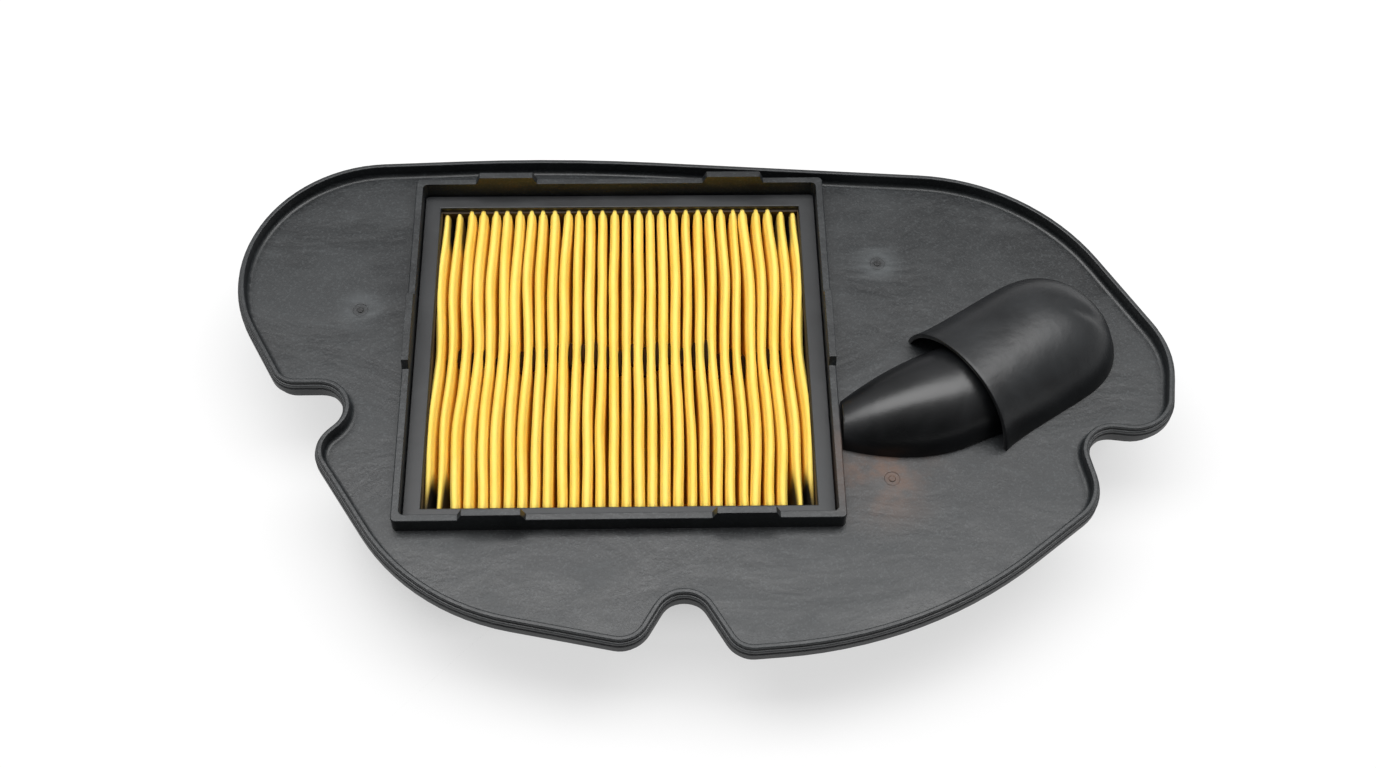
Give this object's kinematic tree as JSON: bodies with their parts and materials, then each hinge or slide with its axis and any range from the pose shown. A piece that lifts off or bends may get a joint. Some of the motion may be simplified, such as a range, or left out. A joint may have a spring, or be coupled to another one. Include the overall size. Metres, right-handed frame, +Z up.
{
  "type": "air filter",
  "caption": "Scooter air filter: rimmed plastic carrier plate with a well holding a pleated paper cartridge, and a half-round hood over its air port.",
  "frame": {"origin": "centre of the part's outline, on the surface on which the bottom of the well stands", "axes": "+X along the plate from the paper cartridge towards the hood, +Y towards the plate's straight far edge, +Z up out of the well"},
  "size_m": [0.3018, 0.1842, 0.0515],
  "materials": {
    "carrier_plastic": "matte moulded talc-filled polypropylene",
    "seal_rubber": "matte moulded rubber",
    "duct_plastic": "satin moulded polypropylene",
    "grid_plastic": "matte moulded",
    "frame_plastic": "matte moulded",
    "foam": "closed-cell foam",
    "filter_paper": "resin-impregnated paper",
    "hot_melt": "dark hot-melt adhesive",
    "potting": "cured adhesive",
    "strip_paper": "resin-impregnated paper"
  },
  "bodies": {
    "carrier": {"carrier_plate": "carrier_plastic", "perimeter_seal": "seal_rubber", "duct_hood": "duct_plastic", "duct_barrel": "duct_plastic", "port_ring": "seal_rubber", "support_grid": "grid_plastic"},
    "cartridge": {"cartridge_frame": "frame_plastic", "cartridge_gasket": "foam", "pleated_media": "filter_paper", "spacer_beads": "hot_melt", "end_bead_far": "potting", "end_bead_near": "potting", "side_strip_left": "strip_paper", "side_strip_right": "strip_paper"}
  },
  "joints": [
    {"name": "cartridge_lift", "type": "slide", "parent": "carrier", "child": "cartridge", "axis": [0, 0, 1], "range_m": [0, 0.045]}
  ]
}
